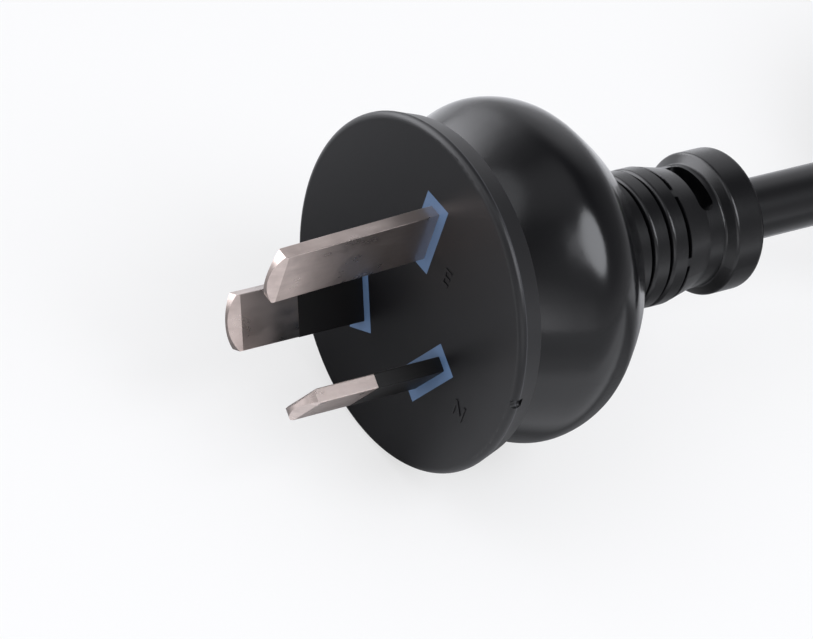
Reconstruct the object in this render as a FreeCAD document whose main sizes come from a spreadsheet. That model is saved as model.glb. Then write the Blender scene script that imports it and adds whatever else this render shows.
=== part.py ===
import FreeCAD, Part
import math
import os

import Sketcher
from FreeCAD import Placement, Rotation, Vector

# Type I plug with three flat blades and a moulded-on cord. Millimetres and degrees.
# The blades point to -Y and the cord leaves to +Y. The earth blade is on top. The
# origin is the centre of the three blades, on the engagement face. The round body's
# own axis is a little above it.

sizes = {
    # round body
    "axis_offset": 1.64,
    "flange_radius": 20.15,
    "flange_back_radius": 19.38,
    "flange_thickness": 3.35,
    "flange_round": 0.75,
    "flange_land": 0.05,
    "gate_nick_radius": 0.55,
    "gate_nick_depth": 1.4,
    "gate_nick_angle": 86.0,
    "waist_radius": 15.0,
    "waist_end": 3.5,
    "bulge_start": 4.1,
    "bulge_start_radius": 15.46,
    "crest_radius": 19.75,
    "neck_radius": 8.0,
    "neck_start": 27.0,
    "body_length": 45.0,
    "throat_radius": 7.1,
    "collar_radius": 8.3,
    "collar_round": 0.65,
    "collar_lip": 0.45,
    "flare_foot": 0.3,
    # places along the bend relief, as shares of the way from neck_start to body_length
    "neck_end_share": 0.372,
    "throat_share": 0.6,
    "flare_share": 0.728,
    "collar_share": 0.774,
    "ring_share": 0.083,
    "ring_step_share": 0.149,
    "slot_share": 0.622,
    # grip rings round the neck, the last one held by webs
    "ring_floor": 0.4,
    "ring_depth": 0.8,
    "ring_lip": 0.5,
    "ring_brow": 0.15,
    "web_count": 6.0,
    "web_angle": 7.0,
    "web_turn": 12.5,
    # slots of the bend relief
    "slot_count": 2.0,
    "slot_width": 2.1,
    "slot_floor": 4.7,
    "slot_angle": 66.0,
    # how far a cut reaches past a surface, and an end piece back into what holds it
    "cut_past": 1.0,
    # blades
    "blade_width": 6.35,
    "blade_thickness": 1.63,
    "nose_radius": 5.2,
    "nose_edge": 0.45,
    "bevel_length": 1.45,
    "blade_edge_round": 0.1,
    "stock_thickness": 6.0,
    "line_radius": 7.92,
    "line_length": 17.8,
    "line_angle": 120.0,
    "earth_radius": 10.6,
    "earth_length": 21.9,
    "earth_lean": 0.05,
    "tail_step": 6.5,
    "tail_end": 9.9,
    "tail_width": 3.2,
    # insulating sleeves
    "sleeve_visible": 8.8,
    "sleeve_back": 2.0,
    "sleeve_proud": 0.06,
    "sleeve_wall": 0.4,
    "sleeve_edge_round": 0.2,
    # crimps
    "barrel_start": 9.4,
    "barrel_end": 14.2,
    "barrel_radius": 1.6,
    "barrel_floor": 0.8,
    "grip_start": 15.2,
    "grip_end": 18.0,
    "grip_radius": 1.75,
    # insert behind the face
    "window_width": 8.75,
    "window_depth": 3.9,
    "holder_radius": 13.4,
    "holder_front": 3.0,
    "holder_back": 8.0,
    "hub_radius": 4.2,
    "hub_back": 10.0,
    # wires
    "conductor_radius": 0.6,
    "core_radius": 1.1,
    "core_start": 12.6,
    "core_spread": 1.27,
    "wire_bend_start": 18.0,
    "wire_bend": 5.6,
    # cord
    "cord_diameter": 7.2,
    "sheath_start": 30.0,
    "cord_bend_at": 62.0,
    "cord_end_at": 84.5,
    "cord_end_height": 0.3,
    "arc_share": 0.45,
    # hank
    "hank_start": 82.0,
    "hank_length": 112.0,
    "fold_radius": 27.2,
    "waist_bend": 22.0,
    "outer_layers": 3.0,
    "inner_layers": 4.0,
    # strap
    "strap_width": 12.0,
    "strap_thickness": 1.0,
    "strap_gap": 0.1,
    # stripped far end
    "end_from_middle": 10.0,
    "end_turn": 12.0,
    "end_fan": 9.0,
    "end_room_length": 30.0,
    "end_room_width": 18.0,
    "stripped_core": 14.0,
    "stripped_conductor": 20.0,
}

# The finger bulge's outline: the poles between its two ends, along the axis and out
# from it. The highest of them takes its radius from crest_radius.
bulge_poles = [(7.03, 17.27), (10.61, 18.81), (13.19, None), (17.29, 18.84),
               (19.18, 17.01), (22.87, 13.95), (26.27, None)]

doc = FreeCAD.newDocument("TypeIPlug")
sheet = doc.addObject("Spreadsheet::Sheet", "Sizes")
for row, (name, number) in enumerate(sizes.items(), 1):
    sheet.set("A%d" % row, name)
    sheet.set("B%d" % row, str(number))
    sheet.setAlias("B%d" % row, name)
doc.recompute()


# What an expression on the sheet comes to.
def value(expression):
    return float(sheet.evalExpression(expression))


def bind(thing, **expressions):
    for name, expression in expressions.items():
        thing.setExpression(name.replace("__", "."), expression)


def new_body(label):
    body = doc.addObject("PartDesign::Body", label)
    body.Label = label
    return body


def new_sketch(body, plane, name):
    sketch = body.newObject("Sketcher::SketchObject", name)
    support = [p for p in body.Origin.OriginFeatures if p.Role == plane][0]
    sketch.AttachmentSupport = (support, [""])
    sketch.MapMode = "FlatFace"
    return sketch


# Holds one point of a sketch at two expressions.
def pin_point(sketch, geometry, point, across, up):
    for kind, expression in (("DistanceX", across), ("DistanceY", up)):
        index = sketch.addConstraint(
            Sketcher.Constraint(kind, -1, 1, geometry, point, value(expression)))
        sketch.setExpression("Constraints[%d]" % index, expression)


def hold(sketch, kind, *places, size):
    index = sketch.addConstraint(Sketcher.Constraint(kind, *places, value(size)))
    sketch.setExpression("Constraints[%d]" % index, size)


# Straight lines through corners given as pairs of expressions.
def add_path(sketch, corners):
    spots = [Vector(value(across), value(up), 0) for across, up in corners]
    lines = [sketch.addGeometry(Part.LineSegment(a, b), False)
             for a, b in zip(spots, spots[1:])]
    for line, corner in zip(lines, corners):
        pin_point(sketch, line, 1, *corner)
    for line, after in zip(lines, lines[1:]):
        sketch.addConstraint(Sketcher.Constraint("Coincident", line, 2, after, 1))
    return lines


def add_polygon(sketch, corners):
    lines = add_path(sketch, corners + corners[:1])
    sketch.addConstraint(Sketcher.Constraint("Coincident", lines[-1], 2, lines[0], 1))
    return lines


def add_rectangle(sketch, left, right, bottom, top):
    return add_polygon(sketch, [(left, bottom), (right, bottom), (right, top), (left, top)])


def add_circle(sketch, across, up, radius):
    circle = sketch.addGeometry(
        Part.Circle(Vector(value(across), value(up), 0), Vector(0, 0, 1), value(radius)), False)
    pin_point(sketch, circle, 3, across, up)
    hold(sketch, "Radius", circle, size=radius)


def pad_both_ways(body, sketch, length, name):
    pad = body.newObject("PartDesign::Pad", name)
    pad.Profile = sketch
    pad.Midplane = True
    bind(pad, Length=length)
    return pad


def pad_one_way(body, sketch, length, name, reverse=False):
    pad = body.newObject("PartDesign::Pad", name)
    pad.Profile = sketch
    pad.Reversed = reverse
    bind(pad, Length=length)
    return pad


def turn(body, kind, sketch, name, angle="360"):
    feature = body.newObject(kind, name)
    feature.Profile = sketch
    feature.ReferenceAxis = (sketch, ["V_Axis"])
    bind(feature, Angle=angle)
    return feature


# Turns copies of a cut round the body's axis.
def repeat_round(body, features, count, name):
    pattern = body.newObject("PartDesign::PolarPattern", name)
    pattern.Originals = features
    pattern.Axis = ([a for a in body.Origin.OriginFeatures if a.Role == "Y_Axis"][0], [""])
    pattern.Angle = 360
    bind(pattern, Occurrences=count)
    body.Tip = pattern
    return pattern


def round_edges(body, chosen, radius, name):
    doc.recompute()
    last = body.Tip
    edges = ["Edge%d" % i for i, edge in enumerate(last.Shape.Edges, 1) if chosen(edge)]
    fillet = body.newObject("PartDesign::Fillet", name)
    fillet.Base = (last, edges)
    bind(fillet, Radius=radius)
    return fillet


# Round body.


# A place along the bend relief.
def relief(share):
    return "(Sizes.neck_start + Sizes.%s * (Sizes.body_length - Sizes.neck_start))" % share


def add_bulge(sketch):
    start = ("Sizes.bulge_start_radius", "Sizes.bulge_start")
    end = ("Sizes.neck_radius", "Sizes.neck_start")
    corners = [start]
    for along, out in bulge_poles:
        radius = str(out)
        if out is None:
            radius = "Sizes.crest_radius" if along < 20 else "Sizes.neck_radius"
        corners.append((radius, str(along)))
    corners.append(end)
    poles = [Vector(value(out), value(along), 0) for out, along in corners]
    degree = 3
    inner = len(poles) - degree - 1
    curve = Part.BSplineCurve()
    curve.buildFromPolesMultsKnots(
        poles, [degree + 1] + [1] * inner + [degree + 1], list(range(inner + 2)),
        False, degree, [1.0] * len(poles))
    index = sketch.addGeometry(curve, False)
    sketch.exposeInternalGeometry(index)
    for pole, corner in enumerate(corners, 1):
        pin_point(sketch, index + pole, 3, *corner)
    return index


def make_blank():
    body = new_body("body_blank")
    sketch = new_sketch(body, "XY_Plane", "body_profile")
    bulge = add_bulge(sketch)
    back = add_path(sketch, [
        ("Sizes.neck_radius", "Sizes.neck_start"),
        ("Sizes.neck_radius", relief("neck_end_share")),
        ("Sizes.throat_radius", relief("throat_share")),
        ("Sizes.throat_radius", relief("flare_share")),
        ("Sizes.collar_radius", relief("collar_share")),
        ("Sizes.collar_radius", "Sizes.body_length"),
        ("0", "Sizes.body_length"),
        ("0", "0"),
        ("Sizes.flange_radius", "0"),
        ("Sizes.flange_radius", "Sizes.flange_round + Sizes.flange_land"),
        ("Sizes.flange_back_radius", "Sizes.flange_thickness"),
        ("Sizes.waist_radius", "Sizes.flange_thickness"),
        ("Sizes.waist_radius", "Sizes.waist_end"),
        ("Sizes.bulge_start_radius", "Sizes.bulge_start"),
    ])
    pin_point(sketch, back[-1], 2, "Sizes.bulge_start_radius", "Sizes.bulge_start")
    turn(body, "PartDesign::Revolution", sketch, "round_body")
    round_edges(
        body,
        lambda edge: abs(edge.BoundBox.XMax - value("flange_radius")) < 0.01
        and edge.BoundBox.YMax < 0.01,
        "Sizes.flange_round", "flange_rounding")
    round_edges(
        body,
        lambda edge: abs(edge.BoundBox.YMin - value("body_length")) < 0.01,
        "Sizes.collar_round", "collar_rounding")
    front = value(relief("collar_share"))
    round_edges(
        body,
        lambda edge: abs(edge.BoundBox.YMin - front) < 0.01 and edge.BoundBox.YLength < 0.01,
        "Sizes.collar_lip", "collar_front_rounding")
    foot = value(relief("flare_share"))
    round_edges(
        body,
        lambda edge: abs(edge.BoundBox.YMin - foot) < 0.01 and edge.BoundBox.YLength < 0.01,
        "Sizes.flare_foot", "flare_foot_rounding")
    return body


# A ring-shaped cut's cross-section, from the neck's surface inwards. Its front side is
# nearly sharp at the surface, and its back side is well rounded over.
def ring_section(sketch, number):
    front = "(%s + %d * (%s - Sizes.neck_start))" % (
        relief("ring_share"), number, relief("ring_step_share"))
    back = "(%s + Sizes.ring_floor)" % front
    floor = "(Sizes.neck_radius - Sizes.ring_depth)"
    outside = "(Sizes.neck_radius + Sizes.cut_past)"
    lines = add_path(sketch, [
        ("Sizes.neck_radius", back + " + Sizes.ring_lip"),
        (outside, back + " + Sizes.ring_lip"),
        (outside, front + " - Sizes.ring_brow"),
        ("Sizes.neck_radius", front + " - Sizes.ring_brow"),
        ("Sizes.neck_radius - Sizes.ring_brow", front),
        (floor, front),
        (floor, back),
        ("Sizes.neck_radius - Sizes.ring_lip", back),
    ])
    last = ("Sizes.neck_radius - Sizes.ring_lip", back)
    pin_point(sketch, lines[-1], 2, *last)
    radius = value("Sizes.ring_lip")
    centre = Vector(value(last[0]), value(back) + radius, 0)
    lip = sketch.addGeometry(Part.ArcOfCircle(
        Part.Circle(centre, Vector(0, 0, 1), radius), -math.pi / 2, 0), False)
    sketch.addConstraint(Sketcher.Constraint("Coincident", lip, 1, lines[-1], 2))
    sketch.addConstraint(Sketcher.Constraint("Coincident", lip, 2, lines[0], 1))
    hold(sketch, "Radius", lip, size="Sizes.ring_lip")


# The mark where the moulding was broken from its gate, on the rim.
def cut_gate_nick(body):
    around = "(Sizes.gate_nick_angle * 1deg)"
    sketch = new_sketch(body, "XZ_Plane", "gate_nick_outline")
    add_circle(sketch, "Sizes.flange_radius * sin(%s)" % around,
               "Sizes.flange_radius * cos(%s)" % around, "Sizes.gate_nick_radius")
    nick = body.newObject("PartDesign::Pocket", "gate_nick")
    nick.Profile = sketch
    bind(nick, Length="Sizes.gate_nick_depth")


def cut_rings(body):
    sketch = new_sketch(body, "XY_Plane", "ring_profiles")
    for ring in range(2):
        ring_section(sketch, ring)
    turn(body, "PartDesign::Groove", sketch, "full_rings")


def cut_webbed_ring(body):
    sketch = new_sketch(body, "XY_Plane", "webbed_ring_profile")
    ring_section(sketch, 2)
    sketch.AttachmentOffset = Placement(Vector(), Rotation(Vector(0, 1, 0), 1))
    bind(sketch, AttachmentOffset__Rotation__Angle="Sizes.web_turn")
    cut = turn(body, "PartDesign::Groove", sketch, "ring_between_webs",
               "360 / Sizes.web_count - Sizes.web_angle")
    cut.Midplane = True
    repeat_round(body, [cut], "Sizes.web_count", "webbed_ring")


# A round hole into the body, at one end of a slot.
def cut_slot_end(body, side):
    half = "(Sizes.slot_width / 2)"
    swing = "(%d * (Sizes.slot_angle / 2 * 1deg - asin(%s / Sizes.throat_radius)))" % (side, half)
    sketch = new_sketch(body, "XY_Plane", "slot_end_outline")
    add_circle(sketch, "0", relief("slot_share"), half)
    sketch.AttachmentOffset = Placement(Vector(1, 0, 1), Rotation(Vector(0, 1, 0), 1))
    bind(sketch, AttachmentOffset__Rotation__Angle=swing,
         AttachmentOffset__Base__x="Sizes.slot_floor * sin(%s)" % swing,
         AttachmentOffset__Base__z="Sizes.slot_floor * cos(%s)" % swing)
    hole = body.newObject("PartDesign::Pocket", "slot_end")
    hole.Profile = sketch
    hole.Reversed = True
    bind(hole, Length="Sizes.collar_radius")
    return hole


def cut_slots(body):
    middle = relief("slot_share")
    sketch = new_sketch(body, "XY_Plane", "slot_profile")
    add_rectangle(sketch, "Sizes.slot_floor", "Sizes.collar_radius + Sizes.cut_past",
                  middle + " - Sizes.slot_width / 2", middle + " + Sizes.slot_width / 2")
    sketch.AttachmentOffset = Placement(Vector(), Rotation(Vector(0, 1, 0), -90))
    cut = turn(body, "PartDesign::Groove", sketch, "slot",
               "Sizes.slot_angle * 1deg - 2 * asin(Sizes.slot_width / 2 / Sizes.throat_radius)")
    cut.Midplane = True
    ends = [cut_slot_end(body, side) for side in (-1, 1)]
    repeat_round(body, [cut] + ends, "Sizes.slot_count", "slots")


# Blades.


# Turns a blade and what is on it about Y to its place, with its thickness along the
# radius where it is turned, and along X where it isn't.
def place_blade(body, radius, angle):
    body.Placement = Placement(Vector(0, 0, value(radius)), Rotation(Vector(0, 1, 0), 1))
    if angle is None:
        body.Placement.Rotation = Rotation()
        bind(body, Placement__Base__z=radius)
        return
    bind(body,
         Placement__Base__x="%s * sin(%s * 1deg)" % (radius, angle),
         Placement__Base__z="%s * cos(%s * 1deg)" % (radius, angle),
         Placement__Rotation__Angle="%s - 90" % angle)


def blade_side_view(body, length):
    drop = "(Sizes.nose_radius - sqrt(Sizes.nose_radius^2 - Sizes.blade_width^2 / 4))"
    half, tail = "Sizes.blade_width / 2", "Sizes.tail_width / 2"
    shoulder = "%s - %s" % (drop, length)
    sketch = new_sketch(body, "YZ_Plane", "side_view")
    lines = add_path(sketch, [
        (shoulder, "-" + half), ("Sizes.tail_step", "-" + half), ("Sizes.tail_step", "-" + tail),
        ("Sizes.tail_end", "-" + tail), ("Sizes.tail_end", tail), ("Sizes.tail_step", tail),
        ("Sizes.tail_step", half), (shoulder, half)])
    pin_point(sketch, lines[-1], 2, shoulder, half)
    radius = value("Sizes.nose_radius")
    spread = math.asin(value(half) / radius)
    circle = Part.Circle(Vector(radius - value(length), 0, 0), Vector(0, 0, 1), radius)
    nose = sketch.addGeometry(
        Part.ArcOfCircle(circle, math.pi - spread, math.pi + spread), False)
    sketch.addConstraint(Sketcher.Constraint("Coincident", nose, 1, lines[-1], 2))
    sketch.addConstraint(Sketcher.Constraint("Coincident", nose, 2, lines[0], 1))
    hold(sketch, "Radius", nose, size="Sizes.nose_radius")
    return sketch


# The stock on one side of the blade's thickness, seen from above: a straight tail, a
# lean from the face on, and the bevel at the nose.
def flank(sketch, side, length, lean):
    face = "%d * Sizes.blade_thickness / 2" % side
    edge = "%d * Sizes.nose_edge / 2" % side
    outside = "%d * (Sizes.stock_thickness / 2 + Sizes.cut_past)" % side
    tip = "%s + Sizes.cut_past" % length
    corners = [
        (face, "Sizes.tail_end + Sizes.cut_past"),
        (face, "0"),
        ("%s + %s * (%s - Sizes.bevel_length)" % (face, lean, length),
         "Sizes.bevel_length - %s" % length),
        ("%s + %s * %s" % (edge, lean, length), "-%s" % length),
        ("%s + %s * %s" % (edge, lean, length), "-(%s)" % tip),
        (outside, "-(%s)" % tip),
        (outside, "Sizes.tail_end + Sizes.cut_past"),
    ]
    add_polygon(sketch, corners)


def add_crimp(body):
    sketch = new_sketch(body, "XY_Plane", "crimp_profile")
    bore_floor = "Sizes.barrel_start + Sizes.barrel_floor"
    add_polygon(sketch, [
        ("0", "Sizes.barrel_start"),
        ("Sizes.barrel_radius", "Sizes.barrel_start"),
        ("Sizes.barrel_radius", "Sizes.barrel_end"),
        ("Sizes.grip_radius", "Sizes.grip_start"),
        ("Sizes.grip_radius", "Sizes.grip_end"),
        ("Sizes.core_radius", "Sizes.grip_end"),
        ("Sizes.core_radius", "Sizes.core_start"),
        ("Sizes.conductor_radius", "Sizes.core_start"),
        ("Sizes.conductor_radius", bore_floor),
        ("0", bore_floor),
    ])
    turn(body, "PartDesign::Revolution", sketch, "crimp")


def make_blade(label, length, radius, angle, lean):
    body = new_body(label)
    pad_both_ways(body, blade_side_view(body, length), "Sizes.stock_thickness", "stock")
    sketch = new_sketch(body, "XY_Plane", "flanks")
    for side in (-1, 1):
        flank(sketch, side, length, lean)
    cut = body.newObject("PartDesign::Pocket", "thickness")
    cut.Profile = sketch
    cut.Midplane = True
    bind(cut, Length="Sizes.blade_width + 2 * Sizes.cut_past")
    step = value("Sizes.tail_step")
    half = value("Sizes.blade_width / 2")

    def long_edge(edge):
        box = edge.BoundBox
        return (box.YLength > 2 and box.YMax <= step + 0.01
                and box.ZLength < 0.01 and abs(abs(box.ZMin) - half) < 0.01)

    round_edges(body, long_edge, "Sizes.blade_edge_round", "blade_edges")
    place_blade(body, radius, angle)
    return body


# The metal is thinner and narrower under the sleeve.
def cut_sleeve_seat(body):
    sketch = new_sketch(body, "XZ_Plane", "seat")
    add_rectangle(sketch, "-Sizes.blade_thickness", "Sizes.blade_thickness",
                  "-Sizes.blade_width", "Sizes.blade_width")
    add_sleeve_bore(sketch)
    sketch.AttachmentOffset = Placement(Vector(0, 0, -1), Rotation())
    bind(sketch, AttachmentOffset__Base__z="-Sizes.sleeve_back")
    cut = body.newObject("PartDesign::Pocket", "sleeve_seat")
    cut.Profile = sketch
    cut.Reversed = True
    bind(cut, Length="Sizes.sleeve_visible + Sizes.sleeve_back")


def add_sleeve_bore(sketch):
    across = "(Sizes.blade_thickness / 2 + Sizes.sleeve_proud - Sizes.sleeve_wall)"
    tall = "(Sizes.blade_width / 2 + Sizes.sleeve_proud - Sizes.sleeve_wall)"
    add_rectangle(sketch, "-" + across, across, "-" + tall, tall)


def make_sleeve(label, radius, angle):
    body = new_body(label)
    sketch = new_sketch(body, "XZ_Plane", "sleeve_section")
    across = "(Sizes.blade_thickness / 2 + Sizes.sleeve_proud)"
    tall = "(Sizes.blade_width / 2 + Sizes.sleeve_proud)"
    add_rectangle(sketch, "-" + across, across, "-" + tall, tall)
    add_sleeve_bore(sketch)
    sketch.AttachmentOffset = Placement(Vector(0, 0, -1), Rotation())
    bind(sketch, AttachmentOffset__Base__z="-Sizes.sleeve_back")
    pad_one_way(body, sketch, "Sizes.sleeve_visible + Sizes.sleeve_back", "sleeve")
    outer = value(tall)

    def long_edge(edge):
        box = edge.BoundBox
        return box.YLength > 2 and abs(abs(box.ZMin) - outer) < 0.01 and box.ZLength < 0.01

    round_edges(body, long_edge, "Sizes.sleeve_edge_round", "sleeve_edges")
    place_blade(body, radius, angle)
    return body


# Wires from the crimps to the cord.


# A wire's way in its own plane: straight out of the crimp, an S bend of two equal
# arcs, and straight into the cord. Across is the distance from the cord's axis.
def wire_way(body, across, start):
    begin, end = value(across), value("Sizes.core_spread")
    radius, low = value("Sizes.wire_bend"), value("Sizes.wire_bend_start")
    angle = math.acos(1 - (begin - end) / (2 * radius))
    high = low + 2 * radius * math.sin(angle)
    up = Vector(0, 0, 1)
    sketch = new_sketch(body, "XY_Plane", "way")
    parts = [
        Part.LineSegment(Vector(begin, value(start), 0), Vector(begin, low, 0)),
        Part.ArcOfCircle(Part.Circle(Vector(begin - radius, low, 0), up, radius), 0, angle),
        Part.ArcOfCircle(Part.Circle(Vector(end + radius, high, 0), up, radius),
                         math.pi, math.pi + angle),
        Part.LineSegment(Vector(end, high, 0), Vector(end, value("Sizes.sheath_start"), 0)),
    ]
    first, out, back, last = [sketch.addGeometry(part, False) for part in parts]
    for line in (first, last):
        sketch.addConstraint(Sketcher.Constraint("Vertical", line))
    sketch.addConstraint(Sketcher.Constraint("Tangent", first, 2, out, 1))
    sketch.addConstraint(Sketcher.Constraint("Tangent", out, 2, back, 2))
    sketch.addConstraint(Sketcher.Constraint("Tangent", back, 1, last, 1))
    sketch.addConstraint(Sketcher.Constraint("Equal", out, back))
    hold(sketch, "Radius", out, size="Sizes.wire_bend")
    pin_point(sketch, first, 1, across, start)
    hold(sketch, "DistanceY", -1, 1, first, 2, size="Sizes.wire_bend_start")
    pin_point(sketch, last, 2, "Sizes.core_spread", "Sizes.sheath_start")
    return sketch


def make_wire(label, across, turned, start, radii):
    body = new_body(label)
    way = wire_way(body, across, start)
    section = new_sketch(body, "XZ_Plane", "section")
    for radius in radii:
        add_circle(section, across, "0", radius)
    section.AttachmentOffset = Placement(Vector(0, 0, -1), Rotation())
    bind(section, AttachmentOffset__Base__z="-(%s)" % start)
    pipe = body.newObject("PartDesign::AdditivePipe", "wire")
    pipe.Profile = section
    pipe.Spine = (way, ["Edge1", "Edge2", "Edge3", "Edge4"])
    body.Placement = Placement(Vector(0, 0, 1), Rotation(Vector(0, 1, 0), 1))
    bind(body, Placement__Base__z="Sizes.axis_offset", Placement__Rotation__Angle=turned)
    return body


def make_wires():
    line_x = "(Sizes.line_radius * sin(Sizes.line_angle * 1deg))"
    line_z = "(Sizes.line_radius * cos(Sizes.line_angle * 1deg) - Sizes.axis_offset)"
    line_across = "sqrt(%s^2 + %s^2)" % (line_x, line_z)
    line_turn = "atan2(-%s; %s) / 1deg" % (line_z, line_x)
    ways = {
        "earth": ("Sizes.earth_radius - Sizes.axis_offset", "-90"),
        "active": (line_across, "180 - " + line_turn),
        "neutral": (line_across, line_turn),
    }
    cores, conductors = [], []
    for name, (across, turned) in ways.items():
        cores.append(make_wire(name + "_core", across, turned, "Sizes.core_start",
                               ["Sizes.core_radius", "Sizes.conductor_radius"]))
        conductors.append(make_wire(name + "_conductor", across, turned,
                                    "Sizes.barrel_start + Sizes.barrel_floor",
                                    ["Sizes.conductor_radius"]))
    return cores, conductors


# Insert behind the face.


def add_windows(sketch):
    half_width, half_depth = value("window_width") / 2, value("window_depth") / 2
    for radius, angle, wide, deep in (
            ("earth_radius", 0.0, half_depth, half_width),
            ("line_radius", value("line_angle"), half_width, half_depth),
            ("line_radius", -value("line_angle"), half_width, half_depth)):
        away, slope = value(radius), math.radians(angle)
        out = Vector(math.sin(slope), math.cos(slope), 0)
        side = Vector(math.cos(slope), -math.sin(slope), 0)
        corners = [out * (away + b * deep) + side * (a * wide)
                   for a, b in ((-1, -1), (1, -1), (1, 1), (-1, 1))]
        for a, b in zip(corners, corners[1:] + corners[:1]):
            line = sketch.addGeometry(Part.LineSegment(a, b), False)
            sketch.addConstraint(Sketcher.Constraint("Block", line))


def make_holder_blank():
    body = new_body("holder_blank")
    windows = new_sketch(body, "XZ_Plane", "windows")
    add_windows(windows)
    pad_one_way(body, windows, "Sizes.holder_back", "towers", reverse=True)
    plate = new_sketch(body, "XZ_Plane", "plate_outline")
    add_circle(plate, "0", "Sizes.axis_offset", "Sizes.holder_radius")
    plate.AttachmentOffset = Placement(Vector(0, 0, -1), Rotation())
    bind(plate, AttachmentOffset__Base__z="-Sizes.holder_front")
    pad_one_way(body, plate, "Sizes.holder_back - Sizes.holder_front", "plate", reverse=True)
    hub = new_sketch(body, "XZ_Plane", "hub_outline")
    add_circle(hub, "0", "Sizes.axis_offset", "Sizes.hub_radius")
    hub.AttachmentOffset = Placement(Vector(0, 0, -1), Rotation())
    bind(hub, AttachmentOffset__Base__z="-Sizes.holder_front")
    pad_one_way(body, hub, "Sizes.hub_back - Sizes.holder_front", "hub", reverse=True)
    return body


def cut_with(label, base, tools):
    tool = tools[0]
    if len(tools) > 1:
        tool = doc.addObject("Part::MultiFuse", label + "_room")
        tool.Shapes = tools
    cut = doc.addObject("Part::Cut", label)
    cut.Label = label
    cut.Base = base
    cut.Tool = tool
    return cut


# Cord.


# Straight runs joined by tangent arcs. Each arc takes the same share of its shorter run.
def cord_wire(points):
    edges, length, start = [], 0.0, points[0]
    for before, corner, after in zip(points, points[1:], points[2:]):
        into = (corner - before).normalize()
        out = (after - corner).normalize()
        half = into.getAngle(out) / 2
        reach = value("arc_share") * min((corner - before).Length, (after - corner).Length)
        print("cord arc radius %.1f" % (reach / math.tan(half)))
        first, last = corner - into * reach, corner + out * reach
        inward = (out - into).normalize()
        middle = corner + inward * (reach / math.sin(half) - reach / math.tan(half))
        edges += [Part.LineSegment(start, first).toShape(), Part.Arc(first, middle, last).toShape()]
        start = last
    edges.append(Part.LineSegment(start, points[-1]).toShape())
    return Part.Wire(edges)


def make_cord(hank):
    points = [Vector(0, value(along), value(up)) for along, up in (
        ("sheath_start", "axis_offset"), ("cord_bend_at", "axis_offset"),
        ("cord_end_at", "cord_end_height"))]
    way = cord_wire(points)
    radius = value("cord_diameter") / 2
    section = Part.Wire(Part.Circle(points[0], Vector(0, 1, 0), radius).toShape())
    tube = way.makePipeShell([section], True, False)
    ratio = tube.Volume / (math.pi * radius ** 2 * way.Length)
    print("cord tube volume over section times length %.4f" % ratio)
    blank = doc.addObject("Part::Feature", "cord_blank")
    blank.Shape = tube
    return cut_with("cord", blank, [hank])


# Hank.

lift = "(Sizes.axis_offset - Sizes.flange_radius + Sizes.strap_thickness)"
half_run = "(Sizes.hank_length / 2 - Sizes.fold_radius - Sizes.cord_diameter / 2)"
hank_middle = "(Sizes.hank_start + Sizes.hank_length / 2)"
waist_centre = "sqrt((Sizes.fold_radius + Sizes.waist_bend)^2 - %s^2)" % half_run


# One closed line round the hank, moved out from the middle of the outer turns: two
# fold arcs and two waist arcs, each tangent to the next.
def add_hank_line(sketch, moved):
    fold = "Sizes.fold_radius + (%s)" % moved
    waist = "Sizes.waist_bend - (%s)" % moved
    run, side = value(half_run), value(waist_centre)
    tilt = math.atan2(run, side)
    up = Vector(0, 0, 1)
    quarters = [
        (Vector(0, run, 0), value(fold), -tilt, math.pi + tilt),
        (Vector(-side, 0, 0), value(waist), -tilt, tilt),
        (Vector(0, -run, 0), value(fold), math.pi - tilt, 2 * math.pi + tilt),
        (Vector(side, 0, 0), value(waist), math.pi - tilt, math.pi + tilt),
    ]
    far, left, near, right = [
        sketch.addGeometry(Part.ArcOfCircle(Part.Circle(c, up, r), a, b), False)
        for c, r, a, b in quarters]
    for arc, across, along in ((far, "0", half_run), (near, "0", "-" + half_run)):
        pin_point(sketch, arc, 3, across, along)
        hold(sketch, "Radius", arc, size=fold)
    for a, a_end, b, b_end in ((far, 2, left, 2), (left, 1, near, 1),
                               (near, 2, right, 2), (right, 1, far, 1)):
        sketch.addConstraint(Sketcher.Constraint("Tangent", a, a_end, b, b_end))
    sketch.addConstraint(Sketcher.Constraint("Equal", left, right))
    hold(sketch, "Radius", left, size=waist)


def make_hank():
    body = new_body("hank_blank")
    outside, between, inside = (
        "Sizes.cord_diameter / 2", "-Sizes.cord_diameter / 2", "-3 * Sizes.cord_diameter / 2")
    whole = new_sketch(body, "XY_Plane", "both_columns")
    add_hank_line(whole, outside)
    add_hank_line(whole, inside)
    pad_one_way(body, whole, "Sizes.outer_layers * Sizes.cord_diameter", "outer_layers_pad")
    column = new_sketch(body, "XY_Plane", "inner_column")
    add_hank_line(column, between)
    add_hank_line(column, inside)
    pad_one_way(body, column, "Sizes.inner_layers * Sizes.cord_diameter", "inner_layers_pad")
    body.Placement.Base = Vector(0, 1, 1)
    bind(body, Placement__Base__y=hank_middle, Placement__Base__z=lift)
    room = doc.addObject("Part::Box", "end_room")
    bind(room, Length="Sizes.end_room_width", Width="Sizes.end_room_length",
         Height="2 * Sizes.cord_diameter")
    return cut_with("cord_hank", body, [room]), room


# Where the sheath stops, on the hank's top turn, and which way the cord points there.
def sheath_stop():
    bend = value("Sizes.waist_bend + Sizes.cord_diameter")
    slope = math.asin(value("Sizes.end_from_middle") / bend)
    spot = Vector(bend * math.cos(slope) - value(waist_centre),
                  value(hank_middle) - value("Sizes.end_from_middle"),
                  value(lift) + value("(Sizes.inner_layers - 0.5) * Sizes.cord_diameter"))
    return spot, slope


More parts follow.
